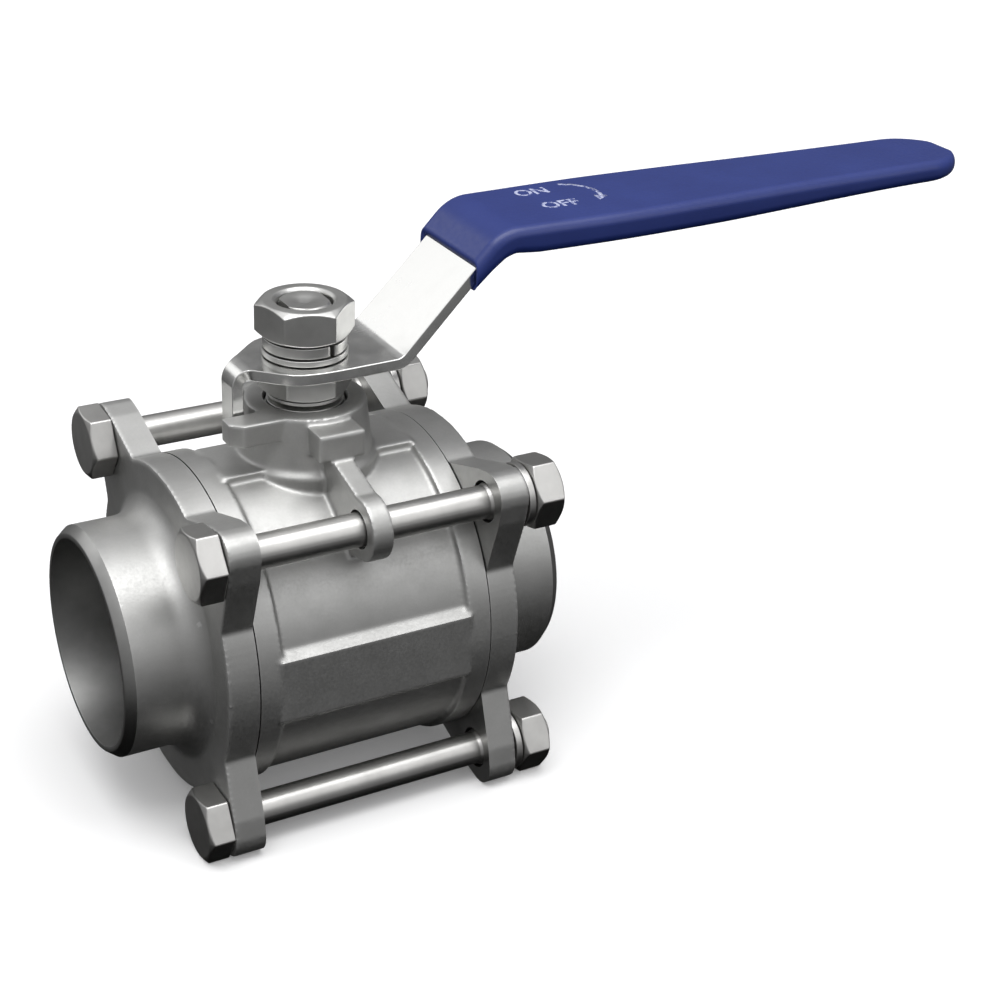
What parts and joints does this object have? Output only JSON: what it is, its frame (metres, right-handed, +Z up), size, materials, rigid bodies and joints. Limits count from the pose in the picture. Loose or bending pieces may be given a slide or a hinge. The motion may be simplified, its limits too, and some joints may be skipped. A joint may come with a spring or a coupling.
{
  "type": "water shutoff valve",
  "caption": "Three-piece stainless ball valve with butt-weld ends, bolted end caps and a cranked lever in a blue vinyl sleeve.",
  "frame": {"origin": "where the pipe axis crosses the stem axis, at the centre of the ball", "axes": "+X along the pipe, from the bolt-head end to the nut end, which is also the way the open lever points; +Z up the stem; +Y to the rear of the valve"},
  "size_m": [0.2652, 0.0936, 0.1451],
  "materials": {
    "cast_steel": "investment-cast stainless steel, bead blasted to an even grey satin",
    "bright_steel": "machined stainless steel, bright, with fine turning marks",
    "strip_steel": "polished stainless strip",
    "polished_ball": "mirror-polished stainless steel",
    "white_seal": "white PTFE, smooth and slightly waxy",
    "blue_vinyl": "dipped vinyl sleeve, deep blue, softly glossy"
  },
  "bodies": {
    "housing": {"body": "cast_steel", "inlet_cap": "cast_steel", "outlet_cap": "cast_steel", "inlet_gasket": "white_seal", "outlet_gasket": "white_seal", "inlet_seat": "white_seal", "outlet_seat": "white_seal", "thrust_washer": "white_seal", "packing_ring_lower": "white_seal", "packing_ring_middle": "white_seal", "packing_ring_upper": "white_seal", "packing_gland": "bright_steel", "bolt_front_upper": "bright_steel", "bolt_nut_front_upper": "bright_steel", "bolt_washer_front_upper": "bright_steel", "bolt_front_lower": "bright_steel", "bolt_nut_front_lower": "bright_steel", "bolt_washer_front_lower": "bright_steel", "bolt_back_upper": "bright_steel", "bolt_nut_back_upper": "bright_steel", "bolt_washer_back_upper": "bright_steel", "bolt_back_lower": "bright_steel", "bolt_nut_back_lower": "bright_steel", "bolt_washer_back_lower": "bright_steel"},
    "handle": {"stem": "bright_steel", "disc_spring_lower": "bright_steel", "disc_spring_upper": "bright_steel", "gland_nut": "bright_steel", "lever": "strip_steel", "lever_washer": "bright_steel", "lever_spring_washer": "bright_steel", "lever_nut": "bright_steel", "lever_sleeve": "blue_vinyl"},
    "ball": {"ball": "polished_ball"}
  },
  "joints": [
    {"name": "lever_turn", "type": "hinge", "parent": "housing", "child": "handle", "pos_m": [0, 0, 0], "axis": [0, 0, 1], "range_deg": [-90, 0]},
    {"name": "ball_turn", "type": "hinge", "parent": "housing", "child": "ball", "pos_m": [0, 0, 0], "axis": [0, 0, 1], "range_deg": [-90, 0]}
  ],
  "couplings": [
    {"joint": "ball_turn", "follows": "lever_turn", "ratio": 1}
  ]
}
